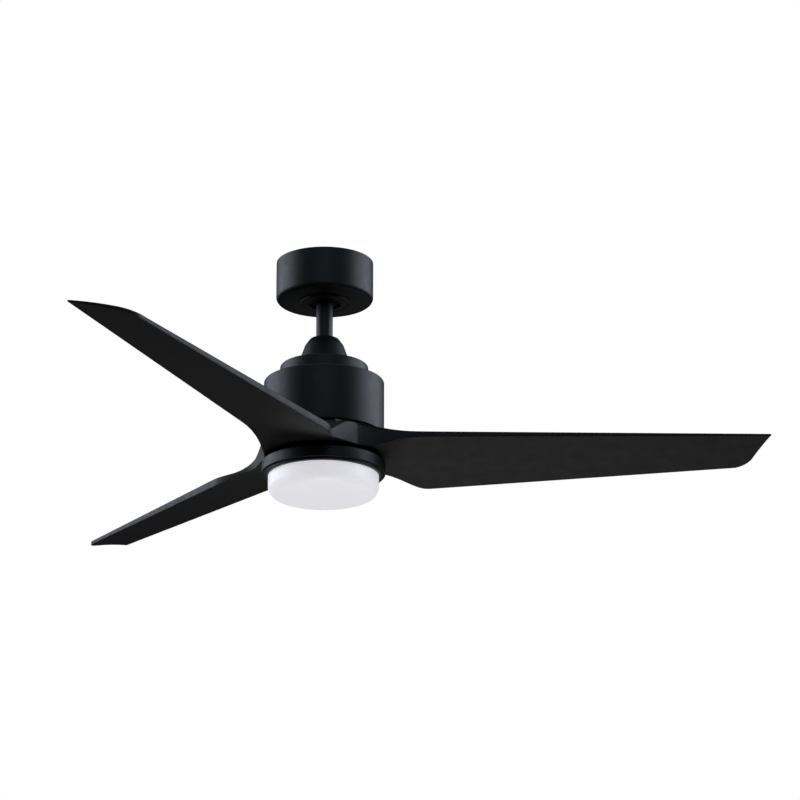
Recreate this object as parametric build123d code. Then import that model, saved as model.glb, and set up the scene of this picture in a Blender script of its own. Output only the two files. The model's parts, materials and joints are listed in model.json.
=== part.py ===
from build123d import *
import math
import os

# Ceiling fan with a light. Millimetres, +Z up, and the ceiling is the plane z = 0 with the fan's axis on Z.
# Three blades turn under a fixed motor housing that hangs from the ceiling on a short rod.

# heights, from the ceiling down
ceiling_gap = 0.5
canopy_height = 66.4
rod_shown = 63.8
cover_height = 46.8
cap_height = 26.0
housing_height = 89.5
hub_gap = 2.4
hub_height = 36.0
light_gap = 7.7
band_height = 18.2
bezel_height = 4.0
lens_drop = 34.4

canopy_bottom_z = -(ceiling_gap + canopy_height)
cover_top_z = canopy_bottom_z - rod_shown
cap_top_z = cover_top_z - cover_height
housing_top_z = cap_top_z - cap_height
housing_bottom_z = housing_top_z - housing_height
hub_top_z = housing_bottom_z - hub_gap
hub_bottom_z = hub_top_z - hub_height
light_top_z = hub_bottom_z - light_gap
band_bottom_z = light_top_z - band_height
light_bottom_z = band_bottom_z - bezel_height
lens_bottom_z = light_bottom_z - lens_drop

# overall radii
tip_radius = 711.2
canopy_radius = 78.0
housing_radius = 95.9
lens_radius = 87.75

# clearances
slip_fit = 0.1
running_fit = 0.04
seated_fit = 0.02
screw_play = 0.3
body_gap = 0.3
cutter_overrun = 1.0

# sheet thicknesses
canopy_wall = 1.2
cap_wall = 1.2
housing_wall = 1.5
ring_wall = 1.5
cover_wall = 1.2

# rod and hanger ball; the ball grows with the rod
rod_radius = 13.35
rod_wall = 2.5
tilt_limit = 18.0
ball_radius = rod_radius + 13.65
ball_rise = ball_radius - 3.5
ball_bottom_drop = ball_radius - 9.0
ball_top_rise = ball_radius - 11.0
pin_radius = 3.0
pin_rise = 14.0
pin_length = 2 * (rod_radius + 4.65)
rod_above_pin = 8.0
ball_screw_radius = 2.5
ball_screw_rise = 3.0
ball_screw_length = ball_radius - rod_radius - 3.15

# ceiling bracket
bracket_half_length = 57.0
bracket_width = 34.0
bracket_plate = 2.0
leg_plate = 2.0
slot_spacing = 89.0
slot_length = 14.0
slot_radius = 2.6
seat_radius = ball_radius + 4.0
seat_top_rise = ball_rise - 7.8
key_width = 5.0
key_reach = 2.6
key_play = 0.5
key_height = 6.7
canopy_screw_radius = 2.0
canopy_screw_spacing = 2 * (seat_radius + canopy_screw_radius)
canopy_fillet = 7.5
ground_screw_radius = 2.0
ground_screw_inset = 6.0
ground_screw_place = (slot_spacing / 2, ground_screw_inset - bracket_width / 2)

base_bottom_z = canopy_bottom_z + canopy_wall
ball_z = base_bottom_z + ball_rise
rod_top_z = ball_z + pin_rise + rod_above_pin

# trim ring under the canopy; it hides the canopy's screws
rim_play = 1.8
trim_height = 4.4
trim_wall = 1.0
trim_edge = 1.4
trim_rim = 3.4
trim_lip = 2.2
trim_recess = 1.2
trim_radius = canopy_screw_spacing / 2 + 7.7
trim_bottom_z = canopy_bottom_z - trim_height


def swept_radius(z):
    # how far the tilted rod reaches from the axis at height z
    angle = math.radians(tilt_limit)
    return (ball_z - z) * math.tan(angle) + rod_radius / math.cos(angle)


rod_opening_radius = swept_radius(trim_bottom_z) + rim_play
seat_hole_radius = swept_radius(base_bottom_z) + 1.0

# wireless receiver, glued under the bracket's plate, clear of the tilted rod's top
receiver_length = 66.0
receiver_width = 30.0
receiver_pad_height = 1.0
receiver_clearance = 2.75
swing_angle = math.radians(tilt_limit)
rod_swing_rise = (rod_top_z - ball_z) * math.cos(swing_angle) + rod_radius * math.sin(swing_angle)
receiver_top_z = -bracket_plate - receiver_pad_height
receiver_bottom_z = ball_z + rod_swing_rise + receiver_clearance

# yoke between the rod and the motor
yoke_radius = rod_radius + 5.65
yoke_rise = 38.0
yoke_foot = 3.0
socket_depth = 35.0
rod_end_gap = 0.5
clevis_rise = 19.0
clevis_radius = 3.15
clevis_head = 2.4
yoke_screw_radius = 3.0
yoke_screw_rise = 9.0
yoke_flange_height = 6.0
yoke_top_z = cap_top_z + yoke_rise
rod_bottom_z = yoke_top_z - socket_depth + rod_end_gap
clevis_z = cap_top_z + clevis_rise

# coupling cover, slipped over the rod and the yoke
cover_top_radius = yoke_radius + 4.0
cover_waist_radius = yoke_radius + 11.6
cover_foot_radius = yoke_radius + 24.4
cover_waist_drop = 11.6
cover_shoulder = 4.2

# cap and housing
cap_radius = housing_radius - 25.4
cap_post_radius = 4.5
cap_post_circle = cap_radius - cap_wall - cap_post_radius - 0.5
cap_screw_radius = 1.5
cap_hole_radius = yoke_radius + yoke_foot
housing_hole_radius = yoke_radius + 5.5
yoke_flange_radius = cap_post_circle - 12.3
housing_screw_circle = (housing_hole_radius + yoke_flange_radius) / 2
housing_screw_radius = 2.5
drum_fillet = 2.5
flange_top_z = housing_top_z - housing_wall
flange_bottom_z = flange_top_z - yoke_flange_height

# shaft and bearings
shaft_radius = 8.5
wire_bore_radius = shaft_radius - 3.0
shaft_end_depth = 10.0
bearing_width = 12.0
race_wall = 3.1
race_space = 5.3
inner_race_radius = shaft_radius + race_wall
outer_race_radius = inner_race_radius + race_space
bearing_outer_radius = outer_race_radius + race_wall
bearing_ball_radius = race_space / 2 + 0.75
bearing_pitch = (inner_race_radius + outer_race_radius) / 2
bearing_balls = 8
bearing_seat_lip = 2.5
clip_height = 1.0
clip_depth = 0.7
clip_reach = 1.8
shaft_screw_radius = 2.5
shaft_screw_drop = 9.0
shaft_top_z = yoke_top_z - socket_depth - shaft_end_depth

# outrunner motor, from the bells inwards
bell_gap = 18.4
bell_wall = 5.9
bell_disc = 4.0
bell_drop = 1.4
bell_radius = housing_radius - housing_wall - bell_gap
bell_hub_radius = bearing_outer_radius + 10.0
bell_screw_radius = 1.5
bell_screws = 6
back_iron_radius = bell_radius - bell_wall - slip_fit
back_iron_wall = 4.0
back_iron_height = 38.0
bell_screw_circle = back_iron_radius + slip_fit + bell_wall / 2
magnet_outer_radius = back_iron_radius - back_iron_wall
magnet_thickness = 3.8
magnet_inner_radius = magnet_outer_radius - magnet_thickness
magnet_count = 14
magnet_angle = 22.0
magnet_height = 30.0
air_gap = 0.7
stator_radius = magnet_inner_radius - air_gap
stator_height = 26.0
shoe_depth = 5.5
slot_depth = 22.0
tooth_root_radius = stator_radius - shoe_depth
stator_yoke_radius = tooth_root_radius - slot_depth
stator_hub_radius = shaft_radius + 5.5
stator_hub_flange = 6.0
tooth_count = 12
shoe_angle = 22.0
coil_gap = 0.3
coil_room = 2.2
coil_start_radius = stator_yoke_radius + 4.0
coil_end_radius = tooth_root_radius - 2.5
coil_half_pitch = coil_start_radius * math.tan(math.pi / tooth_count)
tooth_width = 0.88 * coil_half_pitch
coil_thickness = coil_half_pitch - tooth_width / 2 - coil_gap - coil_room

# hub and blade carrier
hub_radius = housing_radius - 2.9
hub_wall = 4.0
deck_thickness = 5.6
carrier_radius = hub_radius - 5.0
carrier_thickness = 5.0
carrier_hole_radius = shaft_radius + 5.5
carrier_screw_circle = bearing_outer_radius + 5.5
carrier_screw_radius = 2.0
carrier_screws = 6
carrier_screw_depth = 8.0
deck_inner_radius = bell_hub_radius + 6.0
seam_gap = 0.5
seam_azimuth = -54.0
blade_count = 3
blade_sweep = 360 / blade_count
blade_screw_circle = (deck_inner_radius + carrier_radius) / 2
blade_screw_radius = 2.5
blade_screw_spread = 36.0
washer_height = 1.0
carrier_top_z = hub_top_z + carrier_thickness

bell_top_z = flange_bottom_z - bell_drop
upper_bearing_z = bell_top_z - bearing_seat_lip - bearing_width / 2
lower_bearing_z = carrier_top_z + bearing_seat_lip + bearing_width / 2 - 1.0
motor_mid_z = (bell_top_z + carrier_top_z) / 2
upper_disc_z = upper_bearing_z - bearing_width / 2
lower_disc_z = lower_bearing_z + bearing_width / 2

# blades: u runs out along a blade and v across it, towards its low edge
blade_pitch_slope = 0.2466
blade_rise_slope = math.tan(math.radians(3.1))
blade_root_z = hub_bottom_z + 0.6
cw_edge_offset = -63.0
cw_edge_slope = 0.0886
ccw_edge_offset = 113.0
ccw_edge_slope = -0.0323
cw_root_thickness = 10.2
cw_tip_thickness = 3.4
ccw_root_thickness = 13.8
ccw_tip_thickness = 6.2
blade_camber = 2.0
root_camber = 0.3
tip_cut_angle = 70.3
tip_corner_radius = 36.0
cw_flare_reach = 57.0
cw_flare_power = 2.6
ccw_flare = 36.0
ccw_flare_start = 77.0
ccw_flare_length = 80.0
ccw_return_power = 1.6
wing_start = hub_radius + 79.0

# light kit, sized from the lens
lens_wall = 2.0
lens_corner = 15.0
lens_dome = 2.6
lens_rim_drop = 2.9
bezel_width = 6.4
band_step = 3.75
bezel_inner_radius = lens_radius + body_gap
bezel_outer_radius = bezel_inner_radius + bezel_width
light_radius = bezel_outer_radius + band_step
groove_width = 0.8
pan_radius = lens_radius - lens_wall - 4.25
pan_wall = 1.2
pan_depth = 9.4
light_plate_radius = pan_radius + 2.5
light_plate_thickness = 2.0
light_screw_circle = light_plate_radius - 12.0
light_screw_radius = 2.0
light_flange_inner_radius = light_screw_circle - 12.0
nut_height = 6.0
nut_across_flats = 2 * (shaft_radius + 3.5)
lug_count = 3
lug_angle = 24.0
lug_height = 2.0
lug_inset = 2.5
stop_angle = 2.0
tab_height = 2.0
board_radius = pan_radius - 7.5
board_hole_radius = 8.0
board_thickness = 1.6
board_screw_circle = board_radius - 5.0
board_screw_radius = 1.2
pan_screw_circle = board_radius - 40.0
pan_screw_radius = 1.5
pan_post_radius = 4.0
chip_side = 3.0
chip_height = 0.7
chip_edge = 12.0
chip_ring_spacing = 20.0
chip_spacing = 16.5
driver_length = 58.0
driver_width = 26.0
driver_y = pan_radius - pan_wall - driver_width - 12.3

light_plate_top_z = light_top_z - ring_wall
light_plate_bottom_z = light_plate_top_z - light_plate_thickness
shaft_bottom_z = light_plate_bottom_z - nut_height - 1.5
pan_floor_z = light_plate_bottom_z - pan_depth
board_top_z = pan_floor_z - pan_wall
board_bottom_z = board_top_z - board_thickness
lens_top_z = light_plate_bottom_z - lens_rim_drop
lug_top_z = lens_top_z - lug_inset
tab_top_z = lug_top_z - lug_height - body_gap

along_x = Rot(0, 90, 0)
along_y = Rot(90, 0, 0)


# ---- shapes used by several pieces

def disc(radius, z_low, z_high):
    return Pos(0, 0, (z_low + z_high) / 2) * Cylinder(radius, z_high - z_low)


def ring(outer, inner, z_low, z_high):
    return disc(outer, z_low, z_high) - disc(inner, z_low - cutter_overrun, z_high + cutter_overrun)


def block(x_low, x_high, y_low, y_high, z_low, z_high):
    centre = Pos((x_low + x_high) / 2, (y_low + y_high) / 2, (z_low + z_high) / 2)
    return centre * Box(x_high - x_low, y_high - y_low, z_high - z_low)


def turned(points):
    # a turned solid from (radius, height) points
    outline = Polyline(*[(r, 0, z) for r, z in points], close=True)
    return revolve(make_face(outline), Axis.Z)


def ring_sector(outer, inner, start, end, z_low, z_high):
    # the part of a ring between two azimuths less than 180 degrees apart
    corners = [(0, 0)]
    for azimuth in (start, (start + end) / 2, end):
        angle = math.radians(azimuth)
        corners.append((2 * outer * math.cos(angle), 2 * outer * math.sin(angle)))
    wedge = extrude(Plane.XY.offset(z_low) * make_face(Polyline(*corners, close=True)), z_high - z_low)
    return wedge & ring(outer, inner, z_low, z_high)


def around(count, start=0.0):
    return [start + 360 * n / count for n in range(count)]


def circle_places(radius, azimuths):
    return [(radius * math.cos(math.radians(a)), radius * math.sin(math.radians(a))) for a in azimuths]


def bar(direction, centre, radius, length):
    return Pos(*centre) * direction * Cylinder(radius, length)


def screw(radius, head_radius, head_height, length, place, seat_z, side):
    # side is 1 when the shank goes up from the seat and -1 when it goes down
    x, y = place
    slot_width = 0.3 * head_radius
    slot_cut = 0.3 * head_height
    shank = Pos(x, y, seat_z + side * length / 2) * Cylinder(radius, length)
    head = Pos(x, y, seat_z - side * head_height / 2) * Cylinder(head_radius, head_height)
    slot = Pos(x, y, seat_z - side * head_height) * Box(3 * head_radius, slot_width, 2 * slot_cut)
    return shank + head - slot


def drill(body, places, radius, z_low, z_high):
    for x, y in places:
        hole = Pos(x, y, (z_low + z_high) / 2) * Cylinder(radius, z_high - z_low + 2 * cutter_overrun)
        body = body - hole
    return body


def smooth(t):
    t = min(max(t, 0.0), 1.0)
    return t * t * (3 - 2 * t)


# ---- ceiling side

def canopy_screw_places():
    return [(side * canopy_screw_spacing / 2, 0) for side in (-1, 1)]


def make_bracket():
    half = bracket_width / 2
    base_top_z = base_bottom_z + bracket_plate
    reach = bracket_half_length
    body = block(-reach, reach, -half, half, -bracket_plate, 0)
    body = body + block(-reach, reach, -half, half, base_bottom_z, base_top_z)
    body = body + block(-reach, leg_plate - reach, -half, half, base_bottom_z, 0)
    body = body + block(reach - leg_plate, reach, -half, half, base_bottom_z, 0)
    body = body + disc(seat_radius, base_bottom_z, base_bottom_z + seat_top_rise)
    socket_radius = ball_radius + body_gap
    body = body - Pos(0, 0, ball_z) * Sphere(socket_radius)
    body = body - disc(seat_hole_radius, base_bottom_z - cutter_overrun, ball_z)
    # the open side that lets the rod into the seat
    gap = seat_hole_radius
    body = body - block(-gap, gap, 0, seat_radius + half, base_bottom_z - cutter_overrun, ball_z)
    # the key that stops the ball turning
    seat_top_z = base_bottom_z + seat_top_rise
    key = block(-key_width / 2, key_width / 2, -socket_radius - cutter_overrun, key_reach - socket_radius,
                seat_top_z - key_height, seat_top_z)
    body = body + (key & Pos(0, 0, ball_z) * Sphere(socket_radius + cutter_overrun))
    for side in (-1, 1):
        slot = SlotOverall(slot_length, 2 * slot_radius)
        place = Pos(side * slot_spacing / 2, 0, -bracket_plate - cutter_overrun)
        body = body - extrude(place * slot, bracket_plate + 2 * cutter_overrun)
    body = drill(body, canopy_screw_places(), canopy_screw_radius + slip_fit, base_bottom_z, base_top_z)
    return drill(body, [ground_screw_place], ground_screw_radius + slip_fit, -bracket_plate, 0)


def make_canopy():
    top = -ceiling_gap
    outer = disc(canopy_radius, canopy_bottom_z, top)
    outer = fillet(outer.edges().sort_by(Axis.Z)[0], canopy_fillet)
    inner = disc(canopy_radius - canopy_wall, base_bottom_z, top + cutter_overrun)
    inner = fillet(inner.edges().sort_by(Axis.Z)[0], canopy_fillet - canopy_wall)
    body = outer - inner - disc(rod_opening_radius, canopy_bottom_z - cutter_overrun, top)
    return drill(body, canopy_screw_places(), canopy_screw_radius + screw_play, canopy_bottom_z, base_bottom_z)


def make_canopy_screws():
    length = canopy_wall + bracket_plate + 3
    return [screw(canopy_screw_radius, 3.6, 1.8, length, place, canopy_bottom_z, 1)
            for place in canopy_screw_places()]


def make_trim_ring():
    # the underside is recessed between a rim and a lip round the rod's opening
    low, top = trim_bottom_z, canopy_bottom_z
    inner, outer = rod_opening_radius, trim_radius
    lip, rim = inner + trim_lip, outer - trim_rim
    recess_z = low + trim_recess
    inside_z = recess_z + trim_wall
    return turned([(inner, low), (lip, low), (lip + trim_recess, recess_z), (rim - trim_recess, recess_z),
                   (rim, low), (outer - trim_edge, low), (outer, low + trim_edge), (outer, top),
                   (outer - trim_wall, top), (outer - trim_wall, inside_z), (inner + trim_wall, inside_z),
                   (inner + trim_wall, top), (inner, top)])


def make_receiver():
    half_x, half_y = receiver_length / 2, receiver_width / 2
    body = block(-half_x, half_x, -half_y, half_y, receiver_bottom_z, receiver_top_z)
    body = fillet(body.edges().filter_by(Axis.Z), 3)
    # cooling louvres at one end
    louvre_width, louvre_depth, louvre_pitch = 1.0, 0.6, 2.4
    for n in range(5):
        x = half_x - 14 + louvre_pitch * n
        body = body - block(x, x + louvre_width, -8, 8, receiver_bottom_z - cutter_overrun,
                            receiver_bottom_z + louvre_depth)
    return body


def make_receiver_pad():
    return block(-24, 24, -9, 9, receiver_top_z, -bracket_plate)


def make_ground_screw():
    return screw(ground_screw_radius, 3.8, 1.6, bracket_plate, ground_screw_place, -bracket_plate, 1)


# ---- ball, rod and yoke

def make_ball():
    body = Pos(0, 0, ball_z) * Sphere(ball_radius)
    body = body & disc(ball_radius + cutter_overrun, ball_z - ball_bottom_drop, ball_z + ball_top_rise)
    body = body - disc(rod_radius + slip_fit, ball_z - ball_radius, ball_z + ball_radius)
    # the groove that the cross pin drops into
    half = pin_radius + slip_fit
    body = body - block(-ball_radius, ball_radius, -half, half, ball_z + pin_rise - half, ball_z + ball_radius)
    # the slot that slides over the seat's key as the ball tilts
    key_half = key_width / 2 + key_play
    key_floor = ball_radius - key_reach - key_play
    key_ring = Cylinder(ball_radius + cutter_overrun, 2 * key_half) - Cylinder(key_floor, 3 * key_half)
    reach = 2 * ball_radius
    front = block(-reach, reach, -reach, 0, ball_z - reach, ball_z + reach)
    body = body - (Pos(0, 0, ball_z) * along_x * key_ring & front)
    screw_hole = bar(along_y, (0, ball_radius, ball_z + ball_screw_rise), ball_screw_radius + slip_fit,
                     2 * (ball_radius - rod_radius + cutter_overrun))
    return body - screw_hole


def make_ball_pin():
    pin = bar(along_x, (0, 0, ball_z + pin_rise), pin_radius, pin_length)
    return chamfer(pin.edges().filter_by(GeomType.CIRCLE), 0.5)


def make_ball_set_screw():
    start = rod_radius + seated_fit
    z = ball_z + ball_screw_rise
    body = bar(along_y, (0, start + ball_screw_length / 2, z), ball_screw_radius, ball_screw_length)
    socket_radius, socket_depth_each_way = 1.3, 2.5
    return body - bar(along_y, (0, start + ball_screw_length, z), socket_radius, 2 * socket_depth_each_way)


def make_rod():
    body = ring(rod_radius, rod_radius - rod_wall, rod_bottom_z, rod_top_z)
    body = body - bar(along_x, (0, 0, ball_z + pin_rise), pin_radius + slip_fit, 4 * rod_radius)
    return body - bar(along_x, (0, 0, clevis_z), clevis_radius + slip_fit, 4 * rod_radius)


def make_yoke():
    stem = disc(yoke_radius, flange_bottom_z, yoke_top_z)
    stem = fillet(stem.edges().sort_by(Axis.Z)[-1], 2)
    foot_outer = cap_hole_radius - body_gap
    foot = turned([(0, flange_top_z), (foot_outer, flange_top_z), (foot_outer, flange_top_z + 6),
                   (yoke_radius, flange_top_z + 14), (0, flange_top_z + 14)])
    body = stem + foot + disc(yoke_flange_radius, flange_bottom_z, flange_top_z)
    body = body - disc(rod_radius + slip_fit, yoke_top_z - socket_depth, yoke_top_z + cutter_overrun)
    body = body - disc(wire_bore_radius, flange_bottom_z, yoke_top_z)
    body = body - disc(shaft_radius + running_fit, flange_bottom_z - cutter_overrun, shaft_top_z)
    body = body - bar(along_x, (0, 0, clevis_z), clevis_radius + slip_fit, 4 * yoke_radius)
    wall = yoke_radius - rod_radius
    for side in (-1, 1):
        centre = (0, side * yoke_radius, clevis_z + yoke_screw_rise)
        body = body - bar(along_y, centre, yoke_screw_radius + slip_fit, 2 * wall)
    centre = (0, -yoke_radius, shaft_top_z - shaft_screw_drop)
    body = body - bar(along_y, centre, shaft_screw_radius + slip_fit, 2 * (yoke_radius - shaft_radius))
    places = circle_places(housing_screw_circle, around(4, 45))
    return drill(body, places, housing_screw_radius + slip_fit, flange_bottom_z, flange_top_z)


def make_clevis_pin():
    tail = yoke_radius + 7
    head = yoke_radius + slip_fit
    pin = bar(along_x, ((tail - head) / 2, 0, clevis_z), clevis_radius, tail + head)
    pin = pin + bar(along_x, (-head - clevis_head / 2, 0, clevis_z), 5.0, clevis_head)
    return pin - Pos(yoke_radius + 3, 0, clevis_z) * Cylinder(1.1, 4 * clevis_radius)


def make_clevis_clip():
    # a hairpin: one straight leg goes through the pin, the other lies outside it
    wire, leg_half, bend_radius = 1.0, 9.0, 2.6
    x = yoke_radius + 3
    middle_z = clevis_z - 0.5
    top_z = middle_z + leg_half
    leg = Pos(x, 0, middle_z) * Cylinder(wire, 2 * leg_half)
    path = CenterArc((0, 0), bend_radius, 0, 180)
    bend = sweep(Plane(origin=(bend_radius, 0, 0), z_dir=(0, 1, 0)) * Circle(wire), path)
    bend = Pos(x + bend_radius, 0, top_z) * Rot(90, 0, 0) * bend
    outer_length = leg_half - clevis_radius - wire
    outer = Pos(x + 2 * bend_radius, 0, top_z - outer_length / 2) * Cylinder(wire, outer_length)
    return leg + bend + outer


def make_yoke_set_screws():
    length = yoke_radius - rod_radius + 1.5
    y = rod_radius + seated_fit + length / 2
    return [bar(along_y, (0, side * y, clevis_z + yoke_screw_rise), yoke_screw_radius, length)
            for side in (-1, 1)]


def make_shaft_set_screw():
    length = yoke_radius - shaft_radius - 1.5
    y = shaft_radius + seated_fit + length / 2
    return bar(along_y, (0, -y, shaft_top_z - shaft_screw_drop), shaft_screw_radius, length)


def make_cover():
    foot_z = cap_top_z + body_gap
    waist_z = cover_top_z - cover_waist_drop

    def shell(offset, low_z):
        top_z = cover_top_z - offset
        body = turned([(0, top_z), (cover_top_radius - offset, top_z), (cover_waist_radius - offset, waist_z),
                       (cover_foot_radius - offset, low_z), (0, low_z)])
        top_edge = body.edges().filter_by(GeomType.CIRCLE).sort_by(Axis.Z)[-1]
        return fillet(top_edge, cover_shoulder - offset / 2)

    body = shell(0, foot_z) - shell(cover_wall, foot_z - cutter_overrun)
    return body - disc(rod_radius + body_gap + 0.2, foot_z, cover_top_z + cutter_overrun)


# ---- cap and housing

def cap_post_places():
    return circle_places(cap_post_circle, around(3, 90))


def drum(radius, wall, z_low, z_high):
    # a thin drum, open below, with a rolled upper edge
    outer = disc(radius, z_low, z_high)
    outer = fillet(outer.edges().sort_by(Axis.Z)[-1], drum_fillet)
    return outer - disc(radius - wall, z_low - cutter_overrun, z_high - wall)


def make_cap():
    body = drum(cap_radius, cap_wall, housing_top_z, cap_top_z)
    body = body - disc(cap_hole_radius, housing_top_z, cap_top_z + cutter_overrun)
    for x, y in cap_post_places():
        body = body + Pos(x, y, (housing_top_z + cap_top_z - cap_wall) / 2) * Cylinder(
            cap_post_radius, cap_height - cap_wall)
    return drill(body, cap_post_places(), cap_screw_radius + slip_fit, housing_top_z, housing_top_z + 13)


def make_cap_screws():
    return [screw(cap_screw_radius, 3.0, 1.6, housing_wall + 9, place, flange_top_z, 1)
            for place in cap_post_places()]


def make_housing():
    body = drum(housing_radius, housing_wall, housing_bottom_z, housing_top_z)
    body = body - disc(housing_hole_radius, housing_bottom_z, housing_top_z + cutter_overrun)
    places = circle_places(housing_screw_circle, around(4, 45))
    body = drill(body, places, housing_screw_radius + screw_play, flange_top_z, housing_top_z)
    return drill(body, cap_post_places(), cap_screw_radius + screw_play, flange_top_z, housing_top_z)


def make_housing_screws():
    length = housing_wall + yoke_flange_height - 1
    return [screw(housing_screw_radius, 4.6, 2.6, length, place, housing_top_z, -1)
            for place in circle_places(housing_screw_circle, around(4, 45))]


# ---- shaft and bearings

def clip_heights():
    reach = bearing_width / 2 + clip_depth
    return (upper_bearing_z + reach, lower_bearing_z - reach)


def make_shaft():
    body = ring(shaft_radius, wire_bore_radius, shaft_bottom_z, shaft_top_z)
    half = clip_height / 2 + slip_fit
    for z in clip_heights():
        body = body - ring(shaft_radius + 1, shaft_radius - clip_depth - slip_fit, z - half, z + half)
    return body


def make_shaft_rings():
    half = clip_height / 2
    clips = []
    for z in clip_heights():
        clip = ring(shaft_radius + clip_reach, shaft_radius - clip_depth, z - half, z + half)
        clips.append(clip - block(0, 2 * shaft_radius, -2.5, 2.5, z - clip_height, z + clip_height))
    return clips


def race_groove(z):
    return Pos(0, 0, z) * Torus(bearing_pitch, bearing_ball_radius + running_fit)


def make_inner_race(z):
    half = bearing_width / 2
    return ring(inner_race_radius, shaft_radius + seated_fit / 2, z - half, z + half) - race_groove(z)


def make_outer_race(z):
    half = bearing_width / 2
    return ring(bearing_outer_radius, outer_race_radius, z - half, z + half) - race_groove(z)


def make_balls(z):
    return [Pos(x, y, z) * Sphere(bearing_ball_radius)
            for x, y in circle_places(bearing_pitch, around(bearing_balls))]


# ---- motor

def make_bell(hub_z, disc_z, bearing_end_z):
    # one half of the rotor's case: hub, vented disc and rim; disc_z is the disc's hub side
    inward = 1 if motor_mid_z > disc_z else -1
    far_z = disc_z + inward * bell_disc
    body = disc(bell_hub_radius, min(hub_z, disc_z), max(hub_z, disc_z))
    body = body + disc(bell_radius, min(disc_z, far_z), max(disc_z, far_z))
    body = body + ring(bell_radius, back_iron_radius + running_fit, min(disc_z, motor_mid_z),
                       max(disc_z, motor_mid_z))
    through = sorted((hub_z - inward * cutter_overrun, far_z + inward * cutter_overrun))
    body = body - disc(inner_race_radius + 2.5, *through)
    seat = sorted((bearing_end_z, far_z + inward * cutter_overrun))
    body = body - disc(bearing_outer_radius + seated_fit / 2, *seat)
    for azimuth in around(8):
        body = body - ring_sector(bell_radius - 18, bell_hub_radius + 8, azimuth - 11, azimuth + 11,
                                  min(disc_z, far_z) - cutter_overrun, max(disc_z, far_z) + cutter_overrun)
    return body


def bell_screw_places():
    return circle_places(bell_screw_circle, around(bell_screws, 30))


def carrier_screw_places():
    return circle_places(carrier_screw_circle, around(carrier_screws))


def make_upper_bell():
    body = make_bell(bell_top_z, upper_disc_z, upper_bearing_z + bearing_width / 2)
    return drill(body, bell_screw_places(), bell_screw_radius + slip_fit, motor_mid_z, motor_mid_z + 13)


def make_lower_bell():
    body = make_bell(carrier_top_z, lower_disc_z, lower_bearing_z - bearing_width / 2)
    body = drill(body, bell_screw_places(), bell_screw_radius + slip_fit, lower_disc_z, motor_mid_z)
    return drill(body, carrier_screw_places(), carrier_screw_radius + slip_fit, carrier_top_z,
                 carrier_top_z + carrier_screw_depth)


def make_bell_screws():
    length = motor_mid_z - lower_disc_z + 12
    return [screw(bell_screw_radius, 2.8, 2.0, length, place, lower_disc_z, 1) for place in bell_screw_places()]


def make_back_iron():
    half = back_iron_height / 2
    return ring(back_iron_radius, magnet_outer_radius + seated_fit, motor_mid_z - half, motor_mid_z + half)


def make_magnets():
    half = magnet_height / 2
    span = magnet_angle / 2
    return [ring_sector(magnet_outer_radius, magnet_inner_radius, a - span, a + span,
                        motor_mid_z - half, motor_mid_z + half) for a in around(magnet_count)]


def make_stator_hub():
    half = stator_height / 2
    bore = shaft_radius + seated_fit
    body = ring(stator_hub_radius, bore, motor_mid_z - half - 8, motor_mid_z + half + 8)
    return body + ring(stator_hub_radius + stator_hub_flange, bore, motor_mid_z + half, motor_mid_z + half + 3)


def make_stator_core():
    low, high = motor_mid_z - stator_height / 2, motor_mid_z + stator_height / 2
    body = ring(stator_yoke_radius, stator_hub_radius + seated_fit, low, high)
    half_width, half_shoe = tooth_width / 2, shoe_angle / 2
    for azimuth in around(tooth_count):
        tooth = block(stator_yoke_radius - 2, tooth_root_radius + 2, -half_width, half_width, low, high)
        shoe = ring_sector(stator_radius, tooth_root_radius, azimuth - half_shoe, azimuth + half_shoe,
                           low, high)
        body = body + Rot(0, 0, azimuth) * tooth + shoe
    web = stator_yoke_radius - stator_hub_radius
    places = circle_places(stator_hub_radius + web / 2, around(6, 15))
    return drill(body, places, 0.15 * web, low, high)


def make_windings():
    inner_y, inner_z = tooth_width / 2 + coil_gap, stator_height / 2 + coil_gap
    outer_y, outer_z = inner_y + coil_thickness, inner_z + coil_thickness
    start, end = coil_start_radius, coil_end_radius
    coil = block(start, end, -outer_y, outer_y, motor_mid_z - outer_z, motor_mid_z + outer_z)
    coil = fillet(coil.edges().filter_by(Axis.X), 0.9 * coil_thickness)
    coil = coil - block(start - cutter_overrun, end + cutter_overrun, -inner_y, inner_y,
                        motor_mid_z - inner_z, motor_mid_z + inner_z)
    return [Rot(0, 0, a) * coil for a in around(tooth_count)]


# ---- blade carrier and blades

def blade_screw_places(blades):
    middle = seam_azimuth + blade_sweep / 2
    azimuths = [turn + middle + offset for turn in around(blade_count)[:blades]
                for offset in (-blade_screw_spread, 0, blade_screw_spread)]
    return circle_places(blade_screw_circle, azimuths)


def make_carrier():
    body = ring(carrier_radius, carrier_hole_radius, hub_top_z, carrier_top_z)
    body = drill(body, carrier_screw_places(), carrier_screw_radius + screw_play, hub_top_z, carrier_top_z)
    places = blade_screw_places(blade_count)
    body = drill(body, places, blade_screw_radius + slip_fit, hub_top_z, carrier_top_z)
    for azimuth in around(blade_count, blade_sweep / 2):
        body = body - ring_sector(bell_hub_radius + 22, bell_hub_radius + 7, azimuth - 14, azimuth + 14,
                                  hub_top_z - cutter_overrun, carrier_top_z + cutter_overrun)
    return body


def make_carrier_screws():
    length = carrier_thickness + carrier_screw_depth
    return [screw(carrier_screw_radius, 3.6, 2.4, length, place, hub_top_z, 1)
            for place in carrier_screw_places()]


def cw_edge(u):
    # the leading edge in plan: a straight line that curves out to meet the hub at the seam
    (seam_u, seam_v), = circle_places(hub_radius, [seam_azimuth])
    flare = cw_edge_offset + cw_edge_slope * seam_u - seam_v
    share = (hub_radius + cw_flare_reach - u) / (hub_radius + cw_flare_reach - seam_u)
    return cw_edge_offset + cw_edge_slope * u - flare * max(0.0, share) ** cw_flare_power


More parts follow.
